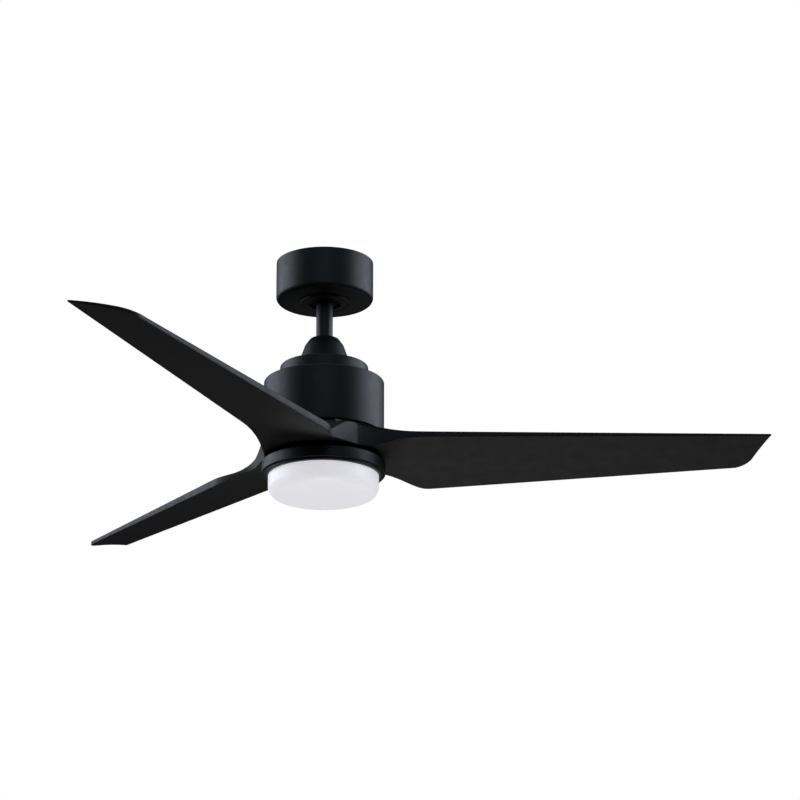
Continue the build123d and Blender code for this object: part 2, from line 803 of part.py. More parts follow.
def ccw_edge(u):
    # the trailing edge in plan: straight, then drawn in beside the hub and back out to the next seam
    (seam_u, seam_v), = circle_places(hub_radius, [seam_azimuth + blade_sweep])
    line = ccw_edge_offset + ccw_edge_slope * u
    drawn_in = ccw_flare * smooth((hub_radius + ccw_flare_start - u) / ccw_flare_length)
    back = seam_v - (ccw_edge_offset + ccw_edge_slope * seam_u - ccw_flare)
    share = (hub_radius - u) / (hub_radius - seam_u)
    return line - drawn_in + back * max(0.0, share) ** ccw_return_power


def wing_underside(u, v):
    return blade_root_z + blade_rise_slope * u - blade_pitch_slope * v


def thickness(u, root, tip):
    share = (u - hub_radius) / (tip_radius - hub_radius)
    return root + (tip - root) * share


def toward_hub(u, start, length, wing, hub):
    # blends the wing's height into the hub's over a length that begins this far outside the hub
    share = smooth((hub_radius + start - u) / length)
    return wing * (1 - share) + hub * share


def blade_section(u):
    # the section across the blade at u: two edges, and an arched face above and below
    v_cw, v_ccw = cw_edge(u), ccw_edge(u)
    low_cw, low_ccw = wing_underside(u, v_cw), wing_underside(u, v_ccw)
    high_cw = low_cw + thickness(u, cw_root_thickness, cw_tip_thickness)
    high_ccw = low_ccw + thickness(u, ccw_root_thickness, ccw_tip_thickness)
    low_cw = toward_hub(u, 47, 76, low_cw, hub_bottom_z)
    low_ccw = toward_hub(u, 72, 100, low_ccw, hub_bottom_z)
    high_cw = toward_hub(u, 19, 62, high_cw, hub_top_z)
    high_ccw = toward_hub(u, 39, 94, high_ccw, hub_top_z)
    camber = toward_hub(u, 60, 100, blade_camber, root_camber)
    middle = (v_cw + v_ccw) / 2
    low = ThreePointArc((u, v_cw, low_cw), (u, middle, (low_cw + low_ccw) / 2 + camber), (u, v_ccw, low_ccw))
    high = ThreePointArc((u, v_ccw, high_ccw), (u, middle, (high_cw + high_ccw) / 2 + camber),
                         (u, v_cw, high_cw))
    ccw_side = Line((u, v_ccw, low_ccw), (u, v_ccw, high_ccw))
    cw_side = Line((u, v_cw, high_cw), (u, v_cw, low_cw))
    return make_face([low, ccw_side, high, cw_side])


def tip_outline():
    # the wing in plan: a raked end, pointed at the leading edge and rounded at the trailing edge
    slope = math.tan(math.radians(tip_cut_angle))
    corner_u = (slope * tip_radius - ccw_edge_offset) / (slope + ccw_edge_slope)
    corner_v = slope * (tip_radius - corner_u)
    outline = make_face(Polyline((0, -hub_radius * 2), (tip_radius, -hub_radius * 2), (tip_radius, 0),
                                 (corner_u, corner_v), (0, ccw_edge_offset), close=True))
    corner = outline.vertices().sort_by_distance((corner_u, corner_v, 0))[0]
    return fillet(corner, tip_corner_radius)


def make_blade():
    # every station is a distance out from the hub's own radius, the first ones lie inside it
    offsets = (-47, -33, -18, -3, 12, 27, 42, 57, 70)
    stations = [hub_radius + offset for offset in offsets] + [wing_start]
    root = loft([blade_section(u) for u in stations])
    wing = loft([blade_section(wing_start), blade_section(tip_radius)], ruled=True)
    low, high = lens_bottom_z - tip_radius, 0
    wing = wing & extrude(Plane.XY.offset(low) * tip_outline(), high - low)
    body = root + wing - disc(hub_radius - hub_wall / 2, low, high)
    seams = (seam_azimuth, seam_azimuth + blade_sweep)
    body = body + ring_sector(hub_radius, hub_radius - hub_wall, *seams, hub_bottom_z, hub_top_z)
    body = body + ring_sector(hub_radius, deck_inner_radius, *seams, hub_top_z - deck_thickness, hub_top_z)
    # the root stops half a seam short of the plane it shares with each neighbour
    reach = 2 * hub_radius
    before = block(0, reach, -reach, seam_gap / 2, low, high)
    after = block(0, reach, -seam_gap / 2, reach, low, high)
    body = body - Rot(0, 0, seams[0]) * before - Rot(0, 0, seams[1]) * after
    deck_bottom_z = hub_top_z - deck_thickness
    return drill(body, blade_screw_places(1), blade_screw_radius + screw_play, deck_bottom_z, hub_top_z)


def make_blade_screws():
    length = deck_thickness + washer_height + carrier_thickness - 0.5
    head_z = hub_top_z - deck_thickness - washer_height
    return [screw(blade_screw_radius, 4.4, 2.8, length, place, head_z, 1)
            for place in blade_screw_places(blade_count)]


def make_blade_washers():
    top = hub_top_z - deck_thickness
    washer = ring(5.4, blade_screw_radius + slip_fit, top - washer_height, top)
    return [Pos(x, y, 0) * washer for x, y in blade_screw_places(blade_count)]


# ---- light kit

def pan_screw_places():
    return circle_places(pan_screw_circle, around(3, 30))


def light_screw_places():
    return circle_places(light_screw_circle, around(3, 90))


def board_screw_places():
    return circle_places(board_screw_circle, around(4, 45))


def make_light_plate():
    low = light_plate_bottom_z
    body = ring(light_plate_radius, shaft_radius + slip_fit, low, light_plate_top_z)
    for x, y in pan_screw_places():
        body = body + Pos(x, y, low - pan_depth / 2) * Cylinder(pan_post_radius, pan_depth)
    body = drill(body, pan_screw_places(), pan_screw_radius + slip_fit, low - pan_depth, low - cutter_overrun)
    return drill(body, light_screw_places(), light_screw_radius + screw_play, low, light_plate_top_z)


def make_plate_nuts():
    nuts = []
    for low in (light_plate_top_z, light_plate_bottom_z - nut_height):
        hexagon = RegularPolygon(nut_across_flats / 2, 6, major_radius=False)
        nut = extrude(Pos(0, 0, low) * hexagon, nut_height)
        bore = disc(shaft_radius + running_fit, low - cutter_overrun, low + nut_height + cutter_overrun)
        nuts.append(nut - bore)
    return nuts


def make_light_ring():
    # a band with a flange above, a narrow groove, and a bezel that stands out round the lens
    groove_z = band_bottom_z + groove_width
    bezel_top_z = groove_z + ring_wall
    band_inner = light_radius - ring_wall
    lip_z = light_bottom_z + ring_wall
    body = turned([
        (light_flange_inner_radius, light_top_z), (light_radius, light_top_z), (light_radius, band_bottom_z),
        (bezel_outer_radius + groove_width, band_bottom_z), (bezel_outer_radius + groove_width, groove_z),
        (bezel_outer_radius, groove_z), (bezel_outer_radius, light_bottom_z),
        (bezel_inner_radius, light_bottom_z), (bezel_inner_radius, lip_z),
        (bezel_outer_radius - ring_wall, lip_z), (bezel_outer_radius - ring_wall, bezel_top_z),
        (band_inner, bezel_top_z), (band_inner, light_plate_top_z),
        (light_flange_inner_radius, light_plate_top_z)])
    circles = body.edges().filter_by(GeomType.CIRCLE).group_by(SortBy.RADIUS)
    body = fillet(circles[-1], 0.8)
    return drill(body, light_screw_places(), light_screw_radius + slip_fit, light_plate_top_z, light_top_z)


def make_light_ring_screws():
    length = light_plate_thickness + ring_wall
    return [screw(light_screw_radius, 3.6, 2.2, length, place, light_plate_bottom_z, 1)
            for place in light_screw_places()]


def make_led_pan():
    body = ring(pan_radius, pan_radius - pan_wall, board_top_z, light_plate_bottom_z)
    body = body + disc(pan_radius, board_top_z, pan_floor_z)
    body = drill(body, [(0, 0)], board_hole_radius, board_top_z, pan_floor_z)
    # tabs that the lens's lugs slide under, each with a stop at one end
    tab_reach = lens_radius - lens_wall - body_gap
    tab_root = pan_radius - pan_wall / 2
    tab_low_z = tab_top_z - tab_height
    for azimuth in around(lug_count):
        start, end = azimuth - lug_angle / 2, azimuth + lug_angle / 2
        body = body + ring_sector(tab_reach, tab_root, start, end, tab_low_z, tab_top_z)
        body = body + ring_sector(tab_reach, tab_root, end, end + stop_angle, tab_low_z, lug_top_z)
    body = drill(body, pan_screw_places(), pan_screw_radius + screw_play, board_top_z, pan_floor_z)
    return drill(body, board_screw_places(), board_screw_radius + slip_fit, board_top_z, pan_floor_z)


def make_pan_screws():
    return [screw(pan_screw_radius, 3.0, 1.4, pan_wall + 6, place, board_top_z, 1)
            for place in pan_screw_places()]


def make_board():
    body = ring(board_radius, board_hole_radius, board_bottom_z, board_top_z)
    body = drill(body, pan_screw_places(), 3.5, board_bottom_z, board_top_z)
    return drill(body, board_screw_places(), board_screw_radius + screw_play, board_bottom_z, board_top_z)


def make_board_screws():
    length = board_thickness + pan_wall + 1
    return [screw(board_screw_radius, 2.4, 1.0, length, place, board_bottom_z, 1)
            for place in board_screw_places()]


def make_chips():
    # rings of light-emitting chips, from the board's edge inwards
    half = chip_side / 2
    chip = block(-half, half, -half, half, board_bottom_z - chip_height, board_bottom_z)
    chips = []
    radius = board_radius - chip_edge
    while radius > board_hole_radius + chip_edge:
        count = round(2 * math.pi * radius / chip_spacing)
        chips += [Rot(0, 0, azimuth) * (Pos(radius, 0, 0) * chip) for azimuth in around(count, 7.5)]
        radius -= chip_ring_spacing
    return chips


def make_driver():
    half = driver_length / 2
    height = pan_depth - 1.2
    body = block(-half, half, driver_y, driver_y + driver_width, pan_floor_z, pan_floor_z + height)
    return fillet(body.edges().filter_by(Axis.Z), 2)


def lens_blank(radius, corner, bottom):
    # a drum with a large rounded corner and a gently domed face
    flat = radius - corner
    dome = ThreePointArc((0, 0, bottom), (flat / 2, 0, bottom + lens_dome / 4), (flat, 0, bottom + lens_dome))
    bend = TangentArc(dome @ 1, (radius, 0, (dome @ 1).Z + corner), tangent=dome % 1)
    side = Line(bend @ 1, (radius, 0, lens_top_z))
    top = Line((radius, 0, lens_top_z), (0, 0, lens_top_z))
    axis = Line((0, 0, lens_top_z), (0, 0, bottom))
    return revolve(make_face([dome, bend, side, top, axis]), Axis.Z)


def make_lens():
    outer = lens_blank(lens_radius, lens_corner, lens_bottom_z)
    inner = lens_blank(lens_radius - lens_wall, lens_corner - lens_wall, lens_bottom_z + lens_wall)
    body = outer - inner
    half = lug_angle / 2 - 0.5
    for azimuth in around(lug_count):
        body = body + ring_sector(lens_radius - lens_wall / 2, pan_radius + body_gap, azimuth - half,
                                  azimuth + half, lug_top_z - lug_height, lug_top_z)
    return body


# ---- writing the pieces

def save(name, shape):
    if isinstance(shape, (list, tuple)):
        shape = Compound(children=[s if isinstance(s, Solid) else s.solids()[0] for s in shape])
    export_step(shape, "parts/" + name + ".step")


def build_all():
    nodes = {
        "ceiling_bracket": make_bracket(),
        "canopy": make_canopy(),
        "canopy_screws": make_canopy_screws(),
        "canopy_trim_ring": make_trim_ring(),
        "receiver_unit": make_receiver(),
        "receiver_pad": make_receiver_pad(),
        "ground_screw": make_ground_screw(),
        "hanger_ball": make_ball(),
        "ball_pin": make_ball_pin(),
        "ball_set_screw": make_ball_set_screw(),
        "down_rod": make_rod(),
        "motor_yoke": make_yoke(),
        "clevis_pin": make_clevis_pin(),
        "clevis_clip": make_clevis_clip(),
        "yoke_set_screws": make_yoke_set_screws(),
        "shaft_set_screw": make_shaft_set_screw(),
        "coupling_cover": make_cover(),
        "motor_top_cap": make_cap(),
        "cap_screws": make_cap_screws(),
        "motor_housing": make_housing(),
        "housing_screws": make_housing_screws(),
        "motor_shaft": make_shaft(),
        "shaft_retaining_rings": make_shaft_rings(),
        "rotor_upper_bell": make_upper_bell(),
        "rotor_lower_bell": make_lower_bell(),
        "bell_screws": make_bell_screws(),
        "back_iron_ring": make_back_iron(),
        "rotor_magnets": make_magnets(),
        "stator_hub": make_stator_hub(),
        "stator_core": make_stator_core(),
        "stator_windings": make_windings(),
        "blade_carrier": make_carrier(),
        "carrier_screws": make_carrier_screws(),
        "blade_screws": make_blade_screws(),
        "blade_washers": make_blade_washers(),
        "light_plate": make_light_plate(),
        "light_plate_nuts": make_plate_nuts(),
        "light_ring": make_light_ring(),
        "light_ring_screws": make_light_ring_screws(),
        "led_pan": make_led_pan(),
        "pan_screws": make_pan_screws(),
        "led_board": make_board(),
        "led_board_screws": make_board_screws(),
        "led_chips": make_chips(),
        "led_driver": make_driver(),
        "lens": make_lens(),
    }
    for end, z in (("upper", upper_bearing_z), ("lower", lower_bearing_z)):
        nodes[end + "_inner_race"] = make_inner_race(z)
        nodes[end + "_outer_race"] = make_outer_race(z)
        nodes[end + "_bearing_balls"] = make_balls(z)
    blade = make_blade()
    for number, azimuth in enumerate(around(blade_count), start=1):
        nodes["blade_" + str(number)] = Rot(0, 0, azimuth) * blade
    return nodes


os.makedirs("parts", exist_ok=True)
for name, shape in build_all().items():
    save(name, shape)
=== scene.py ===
import json
import math

import bmesh
import bpy
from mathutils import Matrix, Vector


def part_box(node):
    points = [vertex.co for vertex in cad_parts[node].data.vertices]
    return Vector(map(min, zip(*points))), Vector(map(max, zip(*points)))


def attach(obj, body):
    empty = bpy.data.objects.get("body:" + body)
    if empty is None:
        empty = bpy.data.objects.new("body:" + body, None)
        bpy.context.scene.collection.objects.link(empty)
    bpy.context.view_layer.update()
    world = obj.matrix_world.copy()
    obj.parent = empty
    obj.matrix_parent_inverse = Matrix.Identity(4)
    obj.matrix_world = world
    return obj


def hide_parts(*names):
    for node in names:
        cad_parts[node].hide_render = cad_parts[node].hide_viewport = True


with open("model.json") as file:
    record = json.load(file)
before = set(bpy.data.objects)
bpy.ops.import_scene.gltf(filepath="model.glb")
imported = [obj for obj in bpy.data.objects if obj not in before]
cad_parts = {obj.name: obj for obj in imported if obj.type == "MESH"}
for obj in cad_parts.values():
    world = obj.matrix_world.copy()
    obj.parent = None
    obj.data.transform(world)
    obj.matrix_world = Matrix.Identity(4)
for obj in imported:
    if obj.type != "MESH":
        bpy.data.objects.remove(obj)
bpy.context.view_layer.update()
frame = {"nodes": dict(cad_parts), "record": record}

mm = 0.001
print("frame loaded:", len(frame["nodes"]), "nodes")


def linearColour(hexCode):
    parts = [int(hexCode[i:i + 2], 16) / 255 for i in (1, 3, 5)]
    return [p / 12.92 if p <= 0.04045 else ((p + 0.055) / 1.055) ** 2.4 for p in parts] + [1.0]


def addNode(tree, kind, inputs=None, **settings):
    # one node: its settings, then its inputs, each a value or another node's output
    node = tree.nodes.new(kind)
    for name, value in settings.items():
        setattr(node, name, value)
    for name, value in (inputs or {}).items():
        socket = node.inputs[name]
        if isinstance(value, bpy.types.NodeSocket):
            tree.links.new(value, socket)
        else:
            socket.default_value = value
    return node


# shared by all finishes: where a rim takes the painted highlight, the size of the noise that breaks it up,
# and how tall the grain stands
finishSet = {"rimFrom": 0.55, "rimTo": 0.7, "highlightBreakup": 9, "glossFrom": 0.3, "glossTo": 0.7, "grainHeight": 0.2}

shaderSockets = {
    "ior": "IOR", "metallic": "Metallic", "anisotropy": "Anisotropic", "glow": "Emission Strength",
    "depth": "Subsurface Weight", "depthRadius": "Subsurface Radius", "depthScale": "Subsurface Scale",
}


def surfaceMaterial(name, look):
    # a finish: mottled colour, uneven gloss and a fine relief, each at its real size in millimetres
    material = bpy.data.materials.new(name)
    material.use_nodes = True
    tree = material.node_tree
    tree.nodes.clear()
    place = addNode(tree, "ShaderNodeTexCoord").outputs["Object"]
    if "stretch" in look:
        place = addNode(tree, "ShaderNodeMapping", {"Vector": place, "Scale": look["stretch"]}).outputs[0]
    mottle = addNode(tree, "ShaderNodeTexNoise", {
        "Vector": place, "Scale": 1 / (look["mottle"] * mm), "Detail": 4.0, "Roughness": 0.6}).outputs["Fac"]
    colour = addNode(tree, "ShaderNodeMix", {
        "Factor": mottle, "A": linearColour(look["dark"]), "B": linearColour(look["light"])},
        data_type="RGBA").outputs["Result"]
    if "highlightTint" in look:
        # painted highlight: rims found by pointiness are made paler, broken up by noise
        bend = addNode(tree, "ShaderNodeNewGeometry").outputs["Pointiness"]
        rim = addNode(tree, "ShaderNodeMapRange", {
            "Value": bend, "From Min": finishSet["rimFrom"], "From Max": finishSet["rimTo"],
            "To Min": 0.0, "To Max": look["highlightShare"]}).outputs[0]
        highlightBreakup = addNode(tree, "ShaderNodeTexNoise", {
            "Vector": place, "Scale": 1 / (finishSet["highlightBreakup"] * mm), "Detail": 5.0}).outputs["Fac"]
        share = addNode(tree, "ShaderNodeMath", {0: rim, 1: highlightBreakup}, operation="MULTIPLY").outputs[0]
        colour = addNode(tree, "ShaderNodeMix", {
            "Factor": share, "A": colour, "B": linearColour(look["highlightTint"])},
            data_type="RGBA").outputs["Result"]
    gloss = addNode(tree, "ShaderNodeTexNoise", {
        "Vector": place, "Scale": 1 / (look["glossSpot"] * mm), "Detail": 3.0}).outputs["Fac"]
    rough = addNode(tree, "ShaderNodeMapRange", {
        "Value": gloss, "From Min": finishSet["glossFrom"], "From Max": finishSet["glossTo"],
        "To Min": look["rough"][0], "To Max": look["rough"][1]}).outputs[0]
    shader = addNode(tree, "ShaderNodeBsdfPrincipled", {"Base Color": colour, "Roughness": rough})
    for key, socket in shaderSockets.items():
        if key in look:
            shader.inputs[socket].default_value = look[key]
    if "glowColour" in look:
        shader.inputs["Emission Color"].default_value = linearColour(look["glowColour"])
    grain = addNode(tree, "ShaderNodeTexNoise", {
        "Vector": place, "Scale": 1 / (look["grain"] * mm), "Detail": 2.0}).outputs["Fac"]
    bump = addNode(tree, "ShaderNodeBump", {
        "Height": grain, "Strength": look["relief"],
        "Distance": look["grain"] * mm * finishSet["grainHeight"]}).outputs[0]
    tree.links.new(bump, shader.inputs["Normal"])
    out = addNode(tree, "ShaderNodeOutputMaterial")
    tree.links.new(shader.outputs[0], out.inputs["Surface"])
    return material


# powder coat on steel: an even satin black with a faint orange peel; the peel, really about
# 1 mm across, is drawn at 2.5 mm so that it shows, and a painted highlight makes the rims a little paler
powderCoat = surfaceMaterial("powderCoatedSteel", {
    "dark": "#0c1115", "light": "#12181d", "mottle": 60, "highlightTint": "#2c3236", "highlightShare": 0.25,
    "glossSpot": 14, "rough": (0.45, 0.51), "ior": 1.5, "grain": 2.5, "relief": 0.05})

# moulded ABS: matt black straight from a fine-etched mould; the 0.3 mm etch is drawn at 1.6 mm, and a painted
# highlight makes its rims paler
mouldedAbs = surfaceMaterial("mouldedMattAbs", {
    "dark": "#0d0d0f", "light": "#131315", "mottle": 90, "highlightTint": "#3a3b3e", "highlightShare": 0.4,
    "glossSpot": 22, "rough": (0.5, 0.58), "ior": 1.49, "grain": 1.6, "relief": 0.10})

# opal polycarbonate: milky white all through, with a silky moulded skin
opalPolycarbonate = surfaceMaterial("opalPolycarbonate", {
    "dark": "#ececf1", "light": "#f6f6fa", "mottle": 45, "glossSpot": 20, "rough": (0.34, 0.42),
    "ior": 1.58, "grain": 3.0, "relief": 0.03, "depth": 0.35, "depthRadius": (1.0, 1.0, 1.0),
    "depthScale": 0.006, "glow": 0.52, "glowColour": "#fbfaff"})

# zinc-plated sheet: rolled grain along X, dull blue-grey gloss
zincPlate = surfaceMaterial("zincPlatedSheet", {
    "dark": "#8d9298", "light": "#b9bec2", "mottle": 7, "glossSpot": 4, "rough": (0.3, 0.45),
    "metallic": 1.0, "grain": 0.8, "relief": 0.12, "stretch": (0.15, 1.0, 1.0), "anisotropy": 0.3})

# zinc-plated screws: turned and tumbled, small bright facets
zincScrew = surfaceMaterial("zincPlatedScrew", {
    "dark": "#8f8f8c", "light": "#c3c3bf", "mottle": 2, "glossSpot": 1.5, "rough": (0.25, 0.4),
    "metallic": 1.0, "grain": 0.5, "relief": 0.15})

# green chromate on the earth screw
greenChromate = surfaceMaterial("greenChromateScrew", {
    "dark": "#1d5a2c", "light": "#2f7d40", "mottle": 2, "glossSpot": 1.5, "rough": (0.3, 0.42),
    "metallic": 0.7, "grain": 0.5, "relief": 0.12})

# closed-cell foam tape: open matt pores
foamTape = surfaceMaterial("foamTape", {
    "dark": "#2c2c2c", "light": "#3c3c3c", "mottle": 1.2, "glossSpot": 3, "rough": (0.85, 0.95), "ior": 1.45,
    "grain": 0.9, "relief": 0.5})

# glass-filled nylon: dark, slightly streaked by the fibres
glassNylon = surfaceMaterial("glassFilledNylon", {
    "dark": "#17181a", "light": "#232527", "mottle": 5, "glossSpot": 3, "rough": (0.45, 0.6), "ior": 1.53,
    "grain": 0.7, "relief": 0.2, "stretch": (1.0, 1.0, 0.3)})

# die-cast aluminium: pale grey with the mould's fine sandy skin
castAluminium = surfaceMaterial("dieCastAluminium", {
    "dark": "#989a9c", "light": "#b5b7b9", "mottle": 12, "glossSpot": 5, "rough": (0.42, 0.58),
    "metallic": 1.0, "grain": 0.9, "relief": 0.25})

# cast iron under black paint: the sand's grit still shows through
paintedIron = surfaceMaterial("paintedCastIron", {
    "dark": "#121415", "light": "#1b1e20", "mottle": 9, "glossSpot": 5, "rough": (0.4, 0.55), "ior": 1.5,
    "grain": 1.4, "relief": 0.4})

# ground bearing steel: near mirror with faint turning marks
groundSteel = surfaceMaterial("groundBearingSteel", {
    "dark": "#a9abad", "light": "#c9cbcd", "mottle": 6, "glossSpot": 2, "rough": (0.12, 0.2),
    "metallic": 1.0, "grain": 0.4, "relief": 0.05, "stretch": (1.0, 1.0, 6.0)})

# sintered ferrite magnet: dull charcoal, slightly pitted
sinteredFerrite = surfaceMaterial("sinteredFerrite", {
    "dark": "#2a2a2c", "light": "#39393b", "mottle": 4, "glossSpot": 3, "rough": (0.5, 0.65), "ior": 1.9,
    "grain": 0.6, "relief": 0.25})

# enamelled copper wire: fine turns around each tooth, amber over copper
enamelledCopper = surfaceMaterial("enamelledCopperWire", {
    "dark": "#8a3d16", "light": "#c2652b", "mottle": 1.5, "glossSpot": 2, "rough": (0.25, 0.38),
    "metallic": 0.9, "grain": 0.9, "relief": 0.5, "stretch": (1.0, 1.0, 0.2)})

# nitrile rubber washers: soft grey-black bloom
nitrileRubber = surfaceMaterial("nitrileRubber", {
    "dark": "#1b1b1b", "light": "#292929", "mottle": 4, "glossSpot": 3, "rough": (0.7, 0.82), "ior": 1.52,
    "grain": 0.8, "relief": 0.2})

# white reflector paint: a smooth semi-matt white
reflectorPaint = surfaceMaterial("whiteReflectorPaint", {
    "dark": "#e6e6e4", "light": "#f1f1ef", "mottle": 25, "glossSpot": 9, "rough": (0.45, 0.55), "ior": 1.5,
    "grain": 1.5, "relief": 0.05})

# white solder mask: glossy with the copper plane's faint pattern
solderMask = surfaceMaterial("whiteSolderMask", {
    "dark": "#dfe0dc", "light": "#efefec", "mottle": 8, "glossSpot": 6, "rough": (0.25, 0.35), "ior": 1.55,
    "grain": 1.0, "relief": 0.06})

# phosphor in silicone: deep warm yellow
phosphorDome = surfaceMaterial("phosphorSilicone", {
    "dark": "#d8a93a", "light": "#efc75c", "mottle": 1.0, "glossSpot": 1.5, "rough": (0.2, 0.3), "ior": 1.41,
    "grain": 0.5, "relief": 0.05})

# grey-white polycarbonate case: light spark-eroded texture
driverShell = surfaceMaterial("sparkErodedPolycarbonate", {
    "dark": "#c6c6c2", "light": "#d4d4d0", "mottle": 18, "glossSpot": 6, "rough": (0.48, 0.6), "ior": 1.58,
    "grain": 0.9, "relief": 0.2})

finishes = {
    "black_paint": powderCoat, "black_plastic": mouldedAbs, "opal_plastic": opalPolycarbonate,
    "zinc_steel": zincPlate, "screw_steel": zincScrew, "ground_green": greenChromate, "foam_pad": foamTape,
    "ball_nylon": glassNylon, "cast_alloy": castAluminium, "yoke_iron": paintedIron,
    "bearing_steel": groundSteel, "magnet_ceramic": sinteredFerrite, "copper_wire": enamelledCopper,
    "grey_rubber": nitrileRubber, "white_pan": reflectorPaint, "board_white": solderMask,
    "led_yellow": phosphorDome, "driver_case": driverShell,
}


def finishNodes():
    for row in frame["record"]["subparts"]:
        node = frame["nodes"][row["node"]]
        node.data.materials.clear()
        node.data.materials.append(finishes[row["material_slot"]])


samePoint = 1e-7  # metres: points closer than this are one
filletShare = 0.49  # a fillet takes just under half of a side
filletSteps = 6


def newPiece(name, points, faces, material, body, node):
    # a mesh with its seams joined and its faces turned outwards, riding on a body in place of a node
    mesh = bpy.data.meshes.new(name)
    mesh.from_pydata(points, [], faces)
    mesh.materials.append(material)
    mesh.validate()
    shell = bmesh.new()
    shell.from_mesh(mesh)
    bmesh.ops.remove_doubles(shell, verts=shell.verts, dist=samePoint)
    bmesh.ops.recalc_face_normals(shell, faces=shell.faces)
    shell.to_mesh(mesh)
    shell.free()
    piece = bpy.data.objects.new(name, mesh)
    bpy.context.scene.collection.objects.link(piece)
    for polygon in mesh.polygons:
        polygon.use_smooth = True
    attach(piece, body)
    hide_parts(node)
    return piece


def sharpen(piece, degrees):
    piece.data.set_sharp_from_angle(angle=math.radians(degrees))


def roundedOutline(points, steps=filletSteps):
    # each point is (radius, height, fillet); a fillet becomes an arc of that size
    outline = []
    count = len(points)
    for i, (r, z, size) in enumerate(points):
        here = Vector((r, z))
        if size <= 0:
            outline.append(here)
            continue
        before = Vector(points[i - 1][:2]) - here
        after = Vector(points[(i + 1) % count][:2]) - here
        turn = before.angle(after)
        reach = min(size / math.tan(turn / 2), before.length * filletShare, after.length * filletShare)
        radius = reach * math.tan(turn / 2)
        bisector = (before.normalized() + after.normalized()).normalized()
        centre = here + bisector * (radius / math.sin(turn / 2))
        start = here + before.normalized() * reach - centre
        end = here + after.normalized() * reach - centre
        sweep = start.angle_signed(end)  # clockwise is positive
        for k in range(steps + 1):
            angle = -sweep * k / steps
            outline.append(centre + Vector((
                start.x * math.cos(angle) - start.y * math.sin(angle),
                start.x * math.sin(angle) + start.y * math.cos(angle))))
    return outline


def turnedMesh(outline, segments):
    # a closed outline turned about the fan's axis; an outline point on the axis is one vertex
    points, faces, ring = [], [], []
    for p in outline:
        if abs(p.x) < samePoint:
            ring.append([len(points)] * segments)
            points.append((0, 0, p.y))
            continue
        ring.append(list(range(len(points), len(points) + segments)))
        for s in range(segments):
            angle = 2 * math.pi * s / segments
            points.append((p.x * math.cos(angle), p.x * math.sin(angle), p.y))
    for i in range(len(outline)):
        a, b = ring[i], ring[(i + 1) % len(outline)]
        if a[0] == a[1] and b[0] == b[1]:
            continue
        for s in range(segments):
            t = (s + 1) % segments
            face = [a[s], a[t], b[t], b[s]]
            faces.append([v for k, v in enumerate(face) if v != face[k - 1]])
    return points, faces


segmentsRound = 192
segmentsWide = 256
crease = {"turned": 40, "lens": 50, "blade": 38}  # degrees: edges that turn more than this stay crisp


def turnedPiece(name, profile, body, slotName, node, segments=segmentsRound):
    points, faces = turnedMesh(roundedOutline(profile), segments)
    piece = newPiece(name, points, faces, finishes[slotName], body, node)
    sharpen(piece, crease["turned"])
    return piece


def makeCanopy():
    canopy = {"wall": 1.2 * mm, "foot": 7.5 * mm, "rim": 0.6 * mm, "innerRim": 0.48 * mm,
              "opening": 25.3 * mm, "lip": 0.4 * mm}
    low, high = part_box("canopy")
    outer, wall, opening = high.x, canopy["wall"], canopy["opening"]
    turnedPiece("canopyShell", [
        (opening, low.z, canopy["lip"]), (outer, low.z, canopy["foot"]), (outer, high.z, canopy["rim"]),
        (outer - wall, high.z, canopy["innerRim"]), (outer - wall, low.z + wall, canopy["foot"] - wall),
        (opening, low.z + wall, canopy["lip"])],
        "ceiling_mount", "black_paint", "canopy")
    print("canopy made")
    return opening


def makeCanopyTrim(opening):
    # a rolled rim outside, a shallow recess, and a lip round the rod's opening
    trim = {"wall": 1.0 * mm, "edge": 1.5 * mm, "rim": 3.4 * mm, "lip": 2.2 * mm, "recess": 1.2 * mm,
            "lipRound": 0.8 * mm, "recessRound": 0.5 * mm, "rimRound": 0.9 * mm, "innerRound": 0.4 * mm}
    low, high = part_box("canopy_trim_ring")
    outer, wall = high.x, trim["wall"]
    recess = low.z + trim["recess"]
    turnedPiece("canopyTrimRing", [
        (opening, low.z, trim["lipRound"]), (opening + trim["lip"], low.z, trim["lipRound"]),
        (opening + trim["lip"] + trim["recess"], recess, trim["recessRound"]),
        (outer - trim["rim"] - trim["recess"], recess, trim["recessRound"]),
        (outer - trim["rim"], low.z, trim["rimRound"]), (outer, low.z, trim["edge"]), (outer, high.z, 0),
        (outer - wall, high.z, 0), (outer - wall, recess + wall, trim["innerRound"]),
        (opening + wall, recess + wall, trim["innerRound"]), (opening + wall, high.z, 0),
        (opening, high.z, 0)],
        "ceiling_mount", "black_paint", "canopy_trim_ring")
    print("canopy trim made")


def makeCouplingCover():
    cover = {"wall": 1.2 * mm, "topRadius": 23.0 * mm, "shoulder": 3.6 * mm, "waist": 31.1 * mm,
             "waistDrop": 11.6 * mm, "waistRound": 7 * mm, "hole": 13.85 * mm, "holeRound": 0.4 * mm,
             "foot": 0.5 * mm}
    low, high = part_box("coupling_cover")
    foot, top, wall = high.x, high.z, cover["wall"]
    waistHeight = top - cover["waistDrop"]
    turnedPiece("couplingCover", [
        (cover["hole"], top, cover["holeRound"]), (cover["topRadius"], top, cover["shoulder"]),
        (cover["waist"], waistHeight, cover["waistRound"]), (foot, low.z, cover["foot"]),
        (foot - wall, low.z, cover["foot"]), (cover["waist"] - wall, waistHeight, cover["waistRound"]),
        (cover["topRadius"] - wall, top - wall, cover["shoulder"] - wall / 2),
        (cover["hole"], top - wall, cover["holeRound"])],
        "coupling_cover", "black_paint", "coupling_cover")
    print("coupling cover made")


